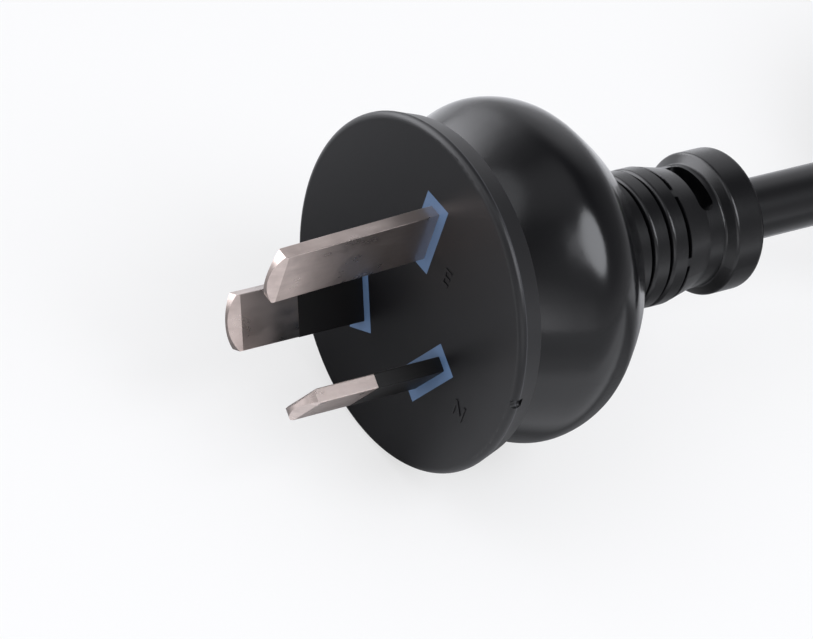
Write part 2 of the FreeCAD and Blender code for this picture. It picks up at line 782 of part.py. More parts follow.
def place_end_room(room):
    spot, slope = sheath_stop()
    facing = Rotation(Vector(0, 0, 1), 180 - math.degrees(slope))
    top_of_outer = value(lift) + value("Sizes.outer_layers * Sizes.cord_diameter")
    corner = facing.multVec(Vector(-value("Sizes.end_room_width") / 2, 0, 0))
    room.Placement = Placement(Vector(spot.x + corner.x, spot.y + corner.y, top_of_outer), facing)


# The three cores beyond the sheath, fanned out, and the bare metal beyond them.
def make_ends(hank):
    spot, slope = sheath_stop()
    back = value("cut_past")
    cores, conductors = [], []
    for number, name in enumerate(("earth", "active", "neutral")):
        around = math.radians(90 + 120 * number)
        spread = value("core_spread")
        swing = value("end_turn") - math.cos(around) * value("end_fan")
        facing = Rotation(Vector(0, 0, 1), -math.degrees(slope) - swing)
        ahead = facing.multVec(Vector(0, -1, 0))
        aside = Rotation(Vector(0, 0, 1), -math.degrees(slope)).multVec(Vector(1, 0, 0))
        start = spot + aside * (spread * math.cos(around)) + Vector(0, 0, spread * math.sin(around))
        lying = Placement(start - ahead * back, Rotation(Vector(0, 0, 1), ahead))
        pair = []
        for kind, radius, long in (("core", "core_radius", "stripped_core"),
                                   ("conductor", "conductor_radius", "stripped_conductor")):
            rod = doc.addObject("Part::Cylinder", "%s_%s_rod" % (name, kind))
            bind(rod, Radius="Sizes." + radius, Height="Sizes.%s + %f" % (long, back))
            rod.Placement = lying
            pair.append(rod)
        core, conductor = pair
        cores.append(cut_with(name + "_core_end", core, [conductor, hank]))
        conductors.append(cut_with(name + "_conductor_end", conductor, [hank]))
    return cores, conductors


def make_strap():
    body = new_body("cord_tie")
    sketch = new_sketch(body, "XZ_Plane", "loop")
    half = "(Sizes.strap_width / 2)"
    outer_bend = "(Sizes.waist_bend - Sizes.cord_diameter / 2)"
    inner_bend = "(Sizes.waist_bend + Sizes.cord_diameter / 2)"
    wide = "(%s - sqrt(%s^2 - %s^2) + Sizes.strap_gap)" % (waist_centre, outer_bend, half)
    narrow = "(%s - sqrt(%s^2 - %s^2) + Sizes.strap_gap)" % (waist_centre, inner_bend, half)
    shoulder = "(%s + Sizes.outer_layers * Sizes.cord_diameter)" % lift
    top = "(%s + Sizes.inner_layers * Sizes.cord_diameter)" % lift
    inside = add_polygon(sketch, [
        ("-" + wide, lift), (wide, lift), (wide, shoulder), (narrow, top),
        ("-" + narrow, top), ("-" + wide, shoulder)])
    thick = value("strap_thickness")
    corners = [(wide, lift, -1), (wide, shoulder, 0.4), (narrow, top, 1)]
    right = [Vector(value(x) + thick, value(z) + step * thick, 0) for x, z, step in corners]
    left = [Vector(-spot.x, spot.y, 0) for spot in reversed(right)]
    ring = [left[-1]] + right + left[:-1]
    outside = [sketch.addGeometry(Part.LineSegment(a, b), False)
               for a, b in zip(ring, ring[1:] + ring[:1])]
    for line, after, along in zip(outside, outside[1:] + outside[:1], inside):
        sketch.addConstraint(Sketcher.Constraint("Coincident", line, 2, after, 1))
        sketch.addConstraint(Sketcher.Constraint("Parallel", line, along))
        hold(sketch, "Distance", along, 1, line, size="Sizes.strap_thickness")
    pad_both_ways(body, sketch, "Sizes.strap_width", "strap")
    body.Placement.Base = Vector(0, 1, 0)
    bind(body, Placement__Base__y=hank_middle)
    return body


# The whole plug.


def make_plug():
    blank = make_blank()
    cut_gate_nick(blank)
    cut_rings(blank)
    cut_webbed_ring(blank)
    cut_slots(blank)
    blank.Placement.Base = Vector(0, 0, 1)
    bind(blank, Placement__Base__z="Sizes.axis_offset")

    line_angle = "Sizes.line_angle"
    earth = make_blade("earth_pin", "Sizes.earth_length", "Sizes.earth_radius", None,
                       "Sizes.earth_lean")
    active = make_blade("active_pin", "Sizes.line_length", "Sizes.line_radius",
                        "-" + line_angle, "0")
    neutral = make_blade("neutral_pin", "Sizes.line_length", "Sizes.line_radius",
                         line_angle, "0")
    for pin in (active, neutral):
        cut_sleeve_seat(pin)
    pins = [earth, active, neutral]
    for pin in pins:
        add_crimp(pin)
    sleeves = [make_sleeve("active_sleeve", "Sizes.line_radius", "-" + line_angle),
               make_sleeve("neutral_sleeve", "Sizes.line_radius", line_angle)]
    cores, conductors = make_wires()
    holder = cut_with("pin_holder", make_holder_blank(), pins + sleeves)

    hank, room = make_hank()
    place_end_room(room)
    cord = make_cord(hank)
    core_ends, conductor_ends = make_ends(hank)
    strap = make_strap()
    body = cut_with("plug_body", blank, [holder] + pins + sleeves + cores + conductors + [cord])
    return ([body, holder] + pins + sleeves + cores + conductors
            + [cord, hank, strap] + core_ends + conductor_ends)


pieces = make_plug()
doc.recompute()

troubled = [thing.Label for thing in doc.Objects
            if "Invalid" in thing.State or "Error" in thing.State]
if troubled:
    raise RuntimeError("not built: " + ", ".join(troubled))
for piece in pieces:
    shape = piece.Shape
    if shape.isNull() or not shape.isValid() or len(shape.Solids) != 1:
        raise RuntimeError("%s is not one valid solid" % piece.Label)

os.makedirs("parts", exist_ok=True)
for piece in pieces:
    piece.Shape.exportStep("parts/%s.step" % piece.Label)
    print("%-22s %9.1f mm3" % (piece.Label, piece.Shape.Volume))
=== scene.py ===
import bpy
import math
from mathutils import Matrix, Vector


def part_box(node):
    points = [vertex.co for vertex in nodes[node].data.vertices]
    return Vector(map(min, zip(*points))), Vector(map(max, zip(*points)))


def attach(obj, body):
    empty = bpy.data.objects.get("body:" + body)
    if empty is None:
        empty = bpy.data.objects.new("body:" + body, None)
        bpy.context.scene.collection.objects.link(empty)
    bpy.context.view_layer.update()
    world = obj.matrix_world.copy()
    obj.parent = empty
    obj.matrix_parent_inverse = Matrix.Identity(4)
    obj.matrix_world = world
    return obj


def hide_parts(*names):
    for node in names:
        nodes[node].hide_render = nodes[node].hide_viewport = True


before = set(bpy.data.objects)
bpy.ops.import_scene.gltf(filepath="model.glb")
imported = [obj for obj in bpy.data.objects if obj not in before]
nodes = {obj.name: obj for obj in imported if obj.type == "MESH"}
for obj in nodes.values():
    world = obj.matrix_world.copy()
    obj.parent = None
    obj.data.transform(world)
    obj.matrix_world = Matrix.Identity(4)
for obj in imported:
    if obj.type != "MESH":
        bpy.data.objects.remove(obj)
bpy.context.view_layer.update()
mm = 0.001
print("frame loaded")

# The plug rests on its flange's rim.
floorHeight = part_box("plug_body")[0].z


# Camera

photoCamera = {
    "azimuth": 43.107, "elevation": 38.471, "roll": 19.56,  # degrees
    "aim": Vector((1.285, 0.116, -0.998)) * mm,
    "distance": 477.161 * mm,
    "lens": 193.68, "sensor": 36.0, "clipStart": 0.01,
}


def placeCamera():
    around, above, tilt = [math.radians(photoCamera[k]) for k in ("azimuth", "elevation", "roll")]
    back = Vector((math.cos(above) * math.sin(around), -math.cos(above) * math.cos(around),
                   math.sin(above)))
    bpy.ops.object.camera_add(location=photoCamera["aim"] + back * photoCamera["distance"])
    camera = bpy.context.object
    camera.name = "photoCamera"
    turn = (Matrix.Rotation(around, 3, "Z") @ Matrix.Rotation(math.pi / 2 - above, 3, "X")
            @ Matrix.Rotation(tilt, 3, "Z"))
    camera.rotation_euler = turn.to_euler()
    camera.data.lens = photoCamera["lens"]
    camera.data.sensor_fit = "HORIZONTAL"
    camera.data.sensor_width = photoCamera["sensor"]
    camera.data.clip_start = photoCamera["clipStart"]
    bpy.context.scene.camera = camera


# Tools that every piece uses

def clearSelection():
    if bpy.context.object and bpy.context.object.mode != "OBJECT":
        bpy.ops.object.mode_set(mode="OBJECT")
    bpy.ops.object.select_all(action="DESELECT")


def pick(piece):
    clearSelection()
    bpy.context.view_layer.objects.active = piece
    piece.select_set(True)


def finishPiece(piece, name, angle=30):
    pick(piece)
    bpy.ops.object.transform_apply(location=True, rotation=True, scale=True)
    piece.name = name
    piece.data.name = name
    if piece.type == "MESH":
        bpy.ops.object.shade_smooth_by_angle(angle=math.radians(angle))
    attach(piece, "root")
    return piece


# A round tube along points. The radius is given at the points, so that the curve's own
# box ends at the tube.
def tubeCurve(name, points, radius, order=3, sides=6, steps=6):
    clearSelection()
    bpy.ops.curve.primitive_nurbs_path_add(location=(0, 0, 0))
    piece = bpy.context.object
    piece.name = name
    line = piece.data.splines[0]
    line.points.add(len(points) - len(line.points))
    for point, place in zip(line.points, points):
        point.co = (*place, 1)
        point.radius = radius
    line.order_u = order
    line.use_endpoint_u = True
    piece.data.resolution_u = steps
    piece.data.bevel_depth = 1.0
    piece.data.bevel_resolution = sides
    piece.data.use_fill_caps = True
    return piece


# Cord. It leaves the neck along the plug's axis, a little above the origin, sinks to the
# hank's third layer and joins the hank's outer turns. The hank has an outer and an inner
# column of turns. Plain lengths are millimetres, here and in the pieces below.

cordFacts = {
    "diameter": 7.2 * mm, "length": 1.8,  # both in metres
    "sides": 7, "steps": 5,
    "straight": [(0, 30, 1.64), (0, 44, 1.64), (0, 56, 1.64), (0, 67, 1.6)],
    "swing": [(2.6, 76, 1.0), (9, 85, 0.6)],
    "exit": (0, 45, 1.64),
}

hankFacts = {
    "start": 82.0, "length": 112.0, "fold": 27.2, "waist": 22.0, "strap": 1.0,
    "outerLayers": 3, "innerLayers": 4, "endFromMiddle": 10.0,
    "stationsPerFold": 13, "stationsPerWaist": 4,
    # in degrees round a fold
    "riseFrom": -115, "crossFrom": -95, "sinkFrom": -75, "changeOver": 60, "joinAt": 40,
    "lastStations": (0.2, 0.5, 0.8, 1.0),
}


def hankShape():
    across = cordFacts["diameter"] / mm
    halfRun = hankFacts["length"] / 2 - hankFacts["fold"] - across / 2
    reach = hankFacts["fold"] + hankFacts["waist"]
    return {
        "across": across,
        "halfRun": halfRun,
        "side": math.sqrt(reach ** 2 - halfRun ** 2),
        "tilt": math.asin(halfRun / reach),
        "middle": hankFacts["start"] + hankFacts["length"] / 2,
        "lowest": floorHeight / mm + hankFacts["strap"] + across / 2,
    }


def easeBetween(angle, start):
    share = min(1, max(0, (angle - start) / hankFacts["changeOver"]))
    return share * share * (3 - 2 * share)


# A point of the fold at the near or far end. The angle is 0 at the fold's outermost
# point and grows in the cord's direction.
def foldPoint(shape, near, angle, inward, level):
    step = (math.pi + 2 * shape["tilt"]) / (hankFacts["stationsPerFold"] - 1)
    bulge = 1 / (0.75 + 0.25 * math.cos(step))  # the curve runs inside its control points
    radius = (hankFacts["fold"] - inward) * bulge
    turn = math.radians(angle)
    side = 1 if near else -1
    return (side * radius * math.sin(turn),
            shape["middle"] - side * (shape["halfRun"] + radius * math.cos(turn)),
            shape["lowest"] + level * shape["across"])


def waistPoint(shape, right, share, inward, level):
    radius = hankFacts["waist"] + inward
    turn = shape["tilt"] * (2 * share - 1)
    side = 1 if right else -1
    return (side * (shape["side"] - radius * math.cos(turn)),
            shape["middle"] + side * radius * math.sin(turn),
            shape["lowest"] + level * shape["across"])


# The turns' columns and levels: down the outer column, then up the inner one.
def turnPlaces(across):
    places = [(0, level) for level in reversed(range(hankFacts["outerLayers"]))]
    places += [(across, level) for level in range(hankFacts["innerLayers"])]
    return places


def hankPoints():
    shape = hankShape()
    limit = 90 + math.degrees(shape["tilt"])
    count = hankFacts["stationsPerFold"]
    angles = [limit * (2 * k / (count - 1) - 1) for k in range(count)]
    places = turnPlaces(shape["across"])
    points = []
    for number, (inward, level) in enumerate(places):
        before = places[number - 1] if number else (inward, level)
        for angle in angles:
            if number == 0 and angle < hankFacts["joinAt"]:
                continue
            start = hankFacts["riseFrom"]
            if before[0] != inward:
                start = hankFacts["crossFrom"]
            elif level < before[1]:
                start = hankFacts["sinkFrom"]
            share = easeBetween(angle, start)
            points.append(foldPoint(
                shape, True, angle, before[0] + (inward - before[0]) * share,
                before[1] + (level - before[1]) * share))
        stations = hankFacts["stationsPerWaist"]
        shares = [(k + 0.5) / stations for k in range(stations)]
        points += [waistPoint(shape, True, share, inward, level) for share in shares]
        points += [foldPoint(shape, False, angle, inward, level) for angle in angles]
        if number == len(places) - 1:
            slope = math.asin(hankFacts["endFromMiddle"] / (hankFacts["waist"] + inward))
            last = (slope / shape["tilt"] + 1) / 2
            shares = [last * share for share in hankFacts["lastStations"]]
        points += [waistPoint(shape, False, share, inward, level) for share in shares]
    return points


def makeCord():
    route = cordFacts["straight"] + cordFacts["swing"] + hankPoints()
    cord = tubeCurve("power_cord", [Vector(p) * mm for p in route], cordFacts["diameter"] / 2,
                     sides=cordFacts["sides"], steps=cordFacts["steps"])
    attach(cord, "root")
    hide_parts("cord", "cord_hank")
    return cord, route


# Stripped far end: three cores out of the sheath and their bared strands.

tailFacts = {
    "order": ("earth", "active", "neutral"), "coreRadius": 1.1, "coreSides": 5, "spread": 1.27,
    "coreLength": 14.0, "bareLength": 20.0, "swing": 12.0, "fan": 9.0, "bendLength": 6.0,
    "coreStations": (-2, 0, 2, 5, 9), "insideCore": 2.0,
    "strandRadius": 0.2, "strandRing": 0.38, "strands": 6, "lay": 7.0,  # one twist in 7 mm
    "strandStations": 9, "strandSides": 2, "strandSteps": 3, "loosening": 0.25,
}


def makeTails(route):
    tip, before = Vector(route[-1]), Vector(route[-2])
    ahead = (tip - before).normalized()
    aside = Vector((-ahead.y, ahead.x, 0))
    tails = []
    for number, name in enumerate(tailFacts["order"]):
        around = math.radians(90 + 120 * number)
        sideways, raised = math.cos(around), math.sin(around)
        swing = math.radians(-tailFacts["swing"] + sideways * tailFacts["fan"])
        away = Matrix.Rotation(swing, 3, "Z") @ ahead
        start = tip + (aside * sideways + Vector((0, 0, raised))) * tailFacts["spread"]

        def along(distance):
            bend = min(1, distance / tailFacts["bendLength"])
            return start + (ahead * (1 - bend / 2) + away * bend / 2) * distance

        reach, bare = tailFacts["coreLength"], tailFacts["bareLength"]
        core = tubeCurve(name + "_tail",
                         [along(d) * mm for d in (*tailFacts["coreStations"], reach)],
                         tailFacts["coreRadius"] * mm, sides=tailFacts["coreSides"])
        bpy.ops.object.convert(target="MESH")
        tails.append(finishPiece(core, name + "_tail"))
        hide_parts(name + "_core_end")

        inside = reach - tailFacts["insideCore"]
        up = Vector((0, 0, 1))
        across = away.cross(up)
        strands = []
        for strand in range(tailFacts["strands"] + 1):
            ring = tailFacts["strandRing"] if strand else 0
            line = []
            for k in range(tailFacts["strandStations"]):
                d = inside + (bare - inside) * k / (tailFacts["strandStations"] - 1)
                twist = 2 * math.pi * (strand / tailFacts["strands"] + d / tailFacts["lay"])
                loose = ring * (1 + tailFacts["loosening"] * max(0, d - reach) / (bare - reach))
                turned = across * math.cos(twist) + up * math.sin(twist)
                line.append((along(d) + turned * loose) * mm)
            strands.append(tubeCurve("strand", line, tailFacts["strandRadius"] * mm,
                                     sides=tailFacts["strandSides"],
                                     steps=tailFacts["strandSteps"]))
        clearSelection()
        for strand in strands:
            strand.select_set(True)
        bpy.context.view_layer.objects.active = strands[0]
        bpy.ops.object.convert(target="MESH")
        bpy.ops.object.join()
        wires = finishPiece(bpy.context.object, name + "_strands")
        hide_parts(name + "_conductor_end")
        tails.append(wires)
    return tails


# Strap round the hank's waist, with its free end lapped on top

strapFacts = {
    "width": 12.0, "thickness": 1.0, "gap": 0.1,
    "cornerRound": 2.4, "cornerSteps": 5, "edgeRound": 0.3, "edgeSteps": 2, "edgeAngle": 50,
    "press": 0.98,  # the wall's share of the thickness once it is pulled tight
    "lapLength": 17.0, "lapThickness": 0.9, "lapShift": 3.0, "lapSink": 0.08, "lapRound": 3.5,
    "lapNarrower": 0.3,
}


def applyModifier(piece, kind, **values):
    modifier = piece.modifiers.new(kind.lower(), kind)
    for key, worth in values.items():
        setattr(modifier, key, worth)
    bpy.ops.object.modifier_apply(modifier=modifier.name)


def makeStrapEnd(under):
    clearSelection()
    thick = strapFacts["lapThickness"]
    bpy.ops.mesh.primitive_cube_add(
        size=1, location=Vector((strapFacts["lapShift"], hankShape()["middle"],
                                 under - strapFacts["lapSink"] + thick / 2)) * mm,
        scale=Vector((strapFacts["lapLength"], strapFacts["width"] - strapFacts["lapNarrower"],
                      thick)) * mm)
    end = bpy.context.object
    bpy.ops.object.transform_apply(location=True, rotation=False, scale=True)
    bpy.ops.object.mode_set(mode="EDIT")
    bpy.ops.mesh.select_mode(type="EDGE")
    bpy.ops.mesh.select_all(action="DESELECT")
    bpy.ops.object.mode_set(mode="OBJECT")
    points = end.data.vertices
    for edge in end.data.edges:  # the two upright edges at the free end
        a, b = [points[k].co for k in edge.vertices]
        edge.select = abs(a.z - b.z) > thick * mm / 2 and a.x > strapFacts["lapShift"] * mm
    bpy.ops.object.mode_set(mode="EDIT")
    bpy.ops.mesh.bevel(offset=strapFacts["lapRound"] * mm, segments=strapFacts["cornerSteps"],
                       affect="EDGES")
    bpy.ops.object.mode_set(mode="OBJECT")
    return end


def makeStrap():
    shape = hankShape()
    halfWidth = strapFacts["width"] / 2
    across = shape["across"]

    def halfWaist(radius):
        return shape["side"] - math.sqrt(radius ** 2 - halfWidth ** 2) + strapFacts["gap"]

    wide = halfWaist(hankFacts["waist"] - across / 2)
    narrow = halfWaist(hankFacts["waist"] + across / 2)
    base = shape["lowest"] - across / 2
    shoulder = base + hankFacts["outerLayers"] * across
    top = base + hankFacts["innerLayers"] * across
    corners = [(-wide, base), (wide, base), (wide, shoulder), (narrow, top), (-narrow, top),
               (-wide, shoulder)]
    clearSelection()
    bpy.ops.mesh.primitive_plane_add(size=1, location=(0, 0, 0))
    strap = bpy.context.object
    bpy.ops.object.mode_set(mode="EDIT")
    bpy.ops.mesh.merge(type="CENTER")
    spots = [Vector((x, shape["middle"] - halfWidth, z)) * mm for x, z in corners]
    bpy.ops.transform.translate(value=spots[0])
    for a, b in zip(spots, spots[1:]):
        bpy.ops.mesh.extrude_region_move(TRANSFORM_OT_translate={"value": b - a})
    bpy.ops.mesh.select_all(action="SELECT")
    bpy.ops.mesh.edge_face_add()
    bpy.ops.mesh.delete(type="ONLY_FACE")
    bpy.ops.mesh.select_all(action="SELECT")
    bpy.ops.mesh.bevel(offset=strapFacts["cornerRound"] * mm,
                       segments=strapFacts["cornerSteps"], affect="VERTICES")
    bpy.ops.mesh.select_all(action="SELECT")
    bpy.ops.mesh.extrude_region_move(
        TRANSFORM_OT_translate={"value": (0, strapFacts["width"] * mm, 0)})
    bpy.ops.mesh.select_all(action="SELECT")
    bpy.ops.mesh.normals_make_consistent(inside=False)
    bpy.ops.object.mode_set(mode="OBJECT")
    thick = strapFacts["thickness"] * strapFacts["press"]
    applyModifier(strap, "SOLIDIFY", thickness=thick * mm, offset=1.0)
    end = makeStrapEnd(top + thick)
    pick(strap)
    end.select_set(True)
    bpy.ops.object.join()
    applyModifier(strap, "BEVEL", width=strapFacts["edgeRound"] * mm,
                  segments=strapFacts["edgeSteps"],
                  angle_limit=math.radians(strapFacts["edgeAngle"]))
    finishPiece(strap, "hank_strap")
    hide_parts("cord_tie")
    return strap


# Raised letters on the face, by the earth, active and neutral blades

letterFacts = {
    "tall": 2.0, "capitalShare": 0.73, "raised": 0.13, "edge": 0.03,
    "places": {"E": (4.9, 8.2), "L": (-13.2, -4.0), "N": (13.2, -4.0)},
}


def makeLetters():
    letters = []
    for letter, (across, up) in letterFacts["places"].items():
        clearSelection()
        bpy.ops.object.text_add(location=(across * mm, 0, up * mm), rotation=(math.pi / 2, 0, 0))
        text = bpy.context.object
        text.data.body = letter
        text.data.align_x = "CENTER"
        text.data.align_y = "CENTER"
        text.data.size = letterFacts["tall"] / letterFacts["capitalShare"] * mm
        text.data.extrude = (letterFacts["raised"] - letterFacts["edge"]) * mm
        text.data.bevel_depth = letterFacts["edge"] * mm
        text.data.bevel_resolution = 1
        bpy.ops.object.convert(target="MESH")
        letters.append(bpy.context.object)
    clearSelection()
    for letter in letters:
        letter.select_set(True)
    bpy.context.view_layer.objects.active = letters[0]
    bpy.ops.object.join()
    return finishPiece(bpy.context.object, "pin_letters")


# Materials

def newMaterial(name):
    material = bpy.data.materials.new(name)
    material.use_nodes = True
    tree = material.node_tree
    shader = tree.nodes["Principled BSDF"]
    return material, tree, shader


def addNode(tree, kind, **values):
    node = tree.nodes.new(kind)
    for key, worth in values.items():
        if key in node.inputs:
            node.inputs[key].default_value = worth
        else:
            setattr(node, key, worth)
    return node


# Fine moulded or worked texture: a noise that bumps the normal.
def makeGrainGroup():
    group = bpy.data.node_groups.new("fineGrain", "ShaderNodeTree")
    for name in ("Scale", "Strength", "Distance"):
        group.interface.new_socket(name=name, in_out="INPUT", socket_type="NodeSocketFloat")
    group.interface.new_socket(name="Normal", in_out="OUTPUT", socket_type="NodeSocketVector")
    start, end = group.nodes.new("NodeGroupInput"), group.nodes.new("NodeGroupOutput")
    place = addNode(group, "ShaderNodeTexCoord")
    fine = addNode(group, "ShaderNodeTexNoise", Detail=4.0, Roughness=0.6)
    bump = addNode(group, "ShaderNodeBump")
    group.links.new(place.outputs["Object"], fine.inputs["Vector"])
    group.links.new(start.outputs["Scale"], fine.inputs["Scale"])
    group.links.new(start.outputs["Strength"], bump.inputs["Strength"])
    group.links.new(start.outputs["Distance"], bump.inputs["Distance"])
    group.links.new(fine.outputs["Fac"], bump.inputs["Height"])
    group.links.new(bump.outputs["Normal"], end.inputs["Normal"])


def addGrain(tree, shader, scale, strength, distance):
    grain = addNode(tree, "ShaderNodeGroup")
    grain.node_tree = bpy.data.node_groups["fineGrain"]
    grain.inputs["Scale"].default_value = scale
    grain.inputs["Strength"].default_value = strength
    grain.inputs["Distance"].default_value = distance
    tree.links.new(grain.outputs["Normal"], shader.inputs["Normal"])


# Black overmould: matte on the flange, glossy on the bulge, satin on the neck.
overmouldLook = {
    "face": (0.0038, 0.0037, 0.0046, 1), "bulge": (0.0024, 0.0024, 0.003, 1),
    "neck": (0.002, 0.002, 0.0025, 1),
    "faceRough": 0.39, "bulgeRough": 0.17, "neckRough": 0.27,
    "faceEnd": 3.3, "bulgeEnd": 27.0, "rampEnd": 45.0,  # millimetres behind the face
    "faceFade": 0.02, "bulgeFade": 0.03,
    "grain": (2600.0, 0.12, 0.00003),
    # the mould's parting line, painted lighter: a painted highlight
    "seamHighlightAt": 0.82, "seamHighlightHalf": 0.07, "seamHighlight": (0.03, 0.03, 0.034, 1),
}


def makeOvermouldMaterial():
    material, tree, shader = newMaterial("black_overmould")
    place = addNode(tree, "ShaderNodeTexCoord")
    split = addNode(tree, "ShaderNodeSeparateXYZ")
    tree.links.new(place.outputs["Object"], split.inputs["Vector"])
    behind = addNode(tree, "ShaderNodeMapRange")
    behind.inputs["From Max"].default_value = overmouldLook["rampEnd"] * mm
    tree.links.new(split.outputs["Y"], behind.inputs["Value"])
    colour = addNode(tree, "ShaderNodeValToRGB")
    rough = addNode(tree, "ShaderNodeValToRGB")
    faceEnd = overmouldLook["faceEnd"] / overmouldLook["rampEnd"]
    bulgeEnd = overmouldLook["bulgeEnd"] / overmouldLook["rampEnd"]
    stops = [faceEnd, faceEnd + overmouldLook["faceFade"],
             bulgeEnd - overmouldLook["bulgeFade"], bulgeEnd]
    parts = ["face", "bulge", "bulge", "neck"]
    for ramp, key in ((colour.color_ramp, ""), (rough.color_ramp, "Rough")):
        while len(ramp.elements) < len(stops):
            ramp.elements.new(0.5)
        for element, stop, part in zip(ramp.elements, stops, parts):
            element.position = stop
            worth = overmouldLook[part + key]
            element.color = worth if not key else (worth, worth, worth, 1)
    tree.links.new(behind.outputs["Result"], colour.inputs["Fac"])
    tree.links.new(behind.outputs["Result"], rough.inputs["Fac"])
    # the mould's parting line, a thin ragged ridge round the rim, painted as a lighter band: a
    # painted highlight where the ridge catches the light
    seamHighlight = addNode(tree, "ShaderNodeMath", operation="COMPARE")
    seamHighlight.inputs[1].default_value = overmouldLook["seamHighlightAt"] * mm
    seamHighlight.inputs[2].default_value = overmouldLook["seamHighlightHalf"] * mm
    tree.links.new(split.outputs["Y"], seamHighlight.inputs[0])
    seamHighlighted = addNode(tree, "ShaderNodeMix", data_type="RGBA")
    seamHighlighted.inputs[7].default_value = overmouldLook["seamHighlight"]
    tree.links.new(seamHighlight.outputs["Value"], seamHighlighted.inputs[0])
    tree.links.new(colour.outputs["Color"], seamHighlighted.inputs[6])
    tree.links.new(seamHighlighted.outputs[2], shader.inputs["Base Color"])
    tree.links.new(rough.outputs["Color"], shader.inputs["Roughness"])
    addGrain(tree, shader, *overmouldLook["grain"])
    return material


# Plated blades: warm grey, with fine lengthwise lines and specks. A painted shade darkens them
# from behind the tip to the face, the active blade the most.
bladeLook = {
    "light": (0.7, 0.595, 0.55, 1), "dark": (0.55, 0.465, 0.43, 1), "rough": 0.3,
    # painted shade: the blades darken towards the face, by a share for each blade
    "bladeShadeColour": (0.16, 0.16, 0.16, 1), "bladeShadeFrom": -17.5, "bladeShadeTo": -11.0,
    "bladeShadeShare": {"earth_pin": 0.25, "active_pin": 0.7, "neutral_pin": 0.0},
    "lineScale": (900, 140, 900), "speckScale": 420.0, "darkAt": 0.78, "lightAt": 1.22,
    "roughDark": 0.06, "roughLight": -0.03, "bump": 0.06, "bumpDepth": 0.00002,
}


def makeBladeMaterial(name, bladeShadeShare):
    material, tree, shader = newMaterial(name)
    place = addNode(tree, "ShaderNodeTexCoord")
    stretch = addNode(tree, "ShaderNodeMapping")
    stretch.inputs["Scale"].default_value = bladeLook["lineScale"]
    lines = addNode(tree, "ShaderNodeTexNoise", Scale=1.0, Detail=3.0, Roughness=0.5)
    specks = addNode(tree, "ShaderNodeTexNoise", Scale=bladeLook["speckScale"], Detail=3.0,
                     Roughness=0.55)
    tree.links.new(place.outputs["Object"], stretch.inputs["Vector"])
    tree.links.new(stretch.outputs["Vector"], lines.inputs["Vector"])
    tree.links.new(place.outputs["Object"], specks.inputs["Vector"])
    mixed = addNode(tree, "ShaderNodeMath", operation="ADD")
    tree.links.new(lines.outputs["Fac"], mixed.inputs[0])
    tree.links.new(specks.outputs["Fac"], mixed.inputs[1])
    tone = addNode(tree, "ShaderNodeMapRange")
    tone.inputs["From Min"].default_value = bladeLook["darkAt"]
    tone.inputs["From Max"].default_value = bladeLook["lightAt"]
    tree.links.new(mixed.outputs["Value"], tone.inputs["Value"])
    colour = addNode(tree, "ShaderNodeMix", data_type="RGBA")
    colour.inputs[6].default_value = bladeLook["dark"]
    colour.inputs[7].default_value = bladeLook["light"]
    tree.links.new(tone.outputs["Result"], colour.inputs[0])
    split = addNode(tree, "ShaderNodeSeparateXYZ")
    bladeShadeRamp = addNode(tree, "ShaderNodeMapRange")
    bladeShadeRamp.inputs["From Min"].default_value = bladeLook["bladeShadeFrom"] * mm
    bladeShadeRamp.inputs["From Max"].default_value = bladeLook["bladeShadeTo"] * mm
    bladeShadeRamp.inputs["To Max"].default_value = bladeShadeShare
    # painted shade towards the face, patchy with the lines and specks
    paintedBladeShade = addNode(tree, "ShaderNodeMath", operation="MULTIPLY")
    tree.links.new(place.outputs["Object"], split.inputs["Vector"])
    tree.links.new(split.outputs["Y"], bladeShadeRamp.inputs["Value"])
    tree.links.new(bladeShadeRamp.outputs["Result"], paintedBladeShade.inputs[0])
    tree.links.new(mixed.outputs["Value"], paintedBladeShade.inputs[1])
    bladeShaded = addNode(tree, "ShaderNodeMix", data_type="RGBA")
    bladeShaded.inputs[7].default_value = bladeLook["bladeShadeColour"]
    tree.links.new(paintedBladeShade.outputs["Value"], bladeShaded.inputs[0])
    tree.links.new(colour.outputs[2], bladeShaded.inputs[6])
    tree.links.new(bladeShaded.outputs[2], shader.inputs["Base Color"])
    shader.inputs["Metallic"].default_value = 1.0
    rough = addNode(tree, "ShaderNodeMapRange")
    rough.inputs["To Min"].default_value = bladeLook["rough"] + bladeLook["roughDark"]
    rough.inputs["To Max"].default_value = bladeLook["rough"] + bladeLook["roughLight"]
    tree.links.new(tone.outputs["Result"], rough.inputs["Value"])
    tree.links.new(rough.outputs["Result"], shader.inputs["Roughness"])
    bump = addNode(tree, "ShaderNodeBump", Strength=bladeLook["bump"],
                   Distance=bladeLook["bumpDepth"])
    tree.links.new(mixed.outputs["Value"], bump.inputs["Height"])
    tree.links.new(bump.outputs["Normal"], shader.inputs["Normal"])
    return material


# Plain materials of two near tones: colour, roughness and what departs from plainGrain.
plainGrain = {"grain": 1200.0, "strength": 0.08, "depth": 0.00004, "cloud": 260.0, "change": 0.12,
              "specular": 0.5, "metal": 0.0}
plainLooks = {
    "sleeve_black": ((0.003, 0.0026, 0.0026), 0.5, {"specular": 0.3}),
    "insert_blue": ((0.118, 0.198, 0.34), 0.42, {"change": 0.22}),
    "sheath_black": ((0.004, 0.004, 0.0046), 0.3, {"grain": 1800.0, "strength": 0.12}),
    "copper": ((0.72, 0.36, 0.22), 0.3, {"metal": 1.0}),
    "earth_green": ((0.25, 0.5, 0.06), 0.35, {}),
    "active_brown": ((0.16, 0.06, 0.03), 0.35, {}),
    "neutral_blue": ((0.08, 0.27, 0.62), 0.35, {}),
}


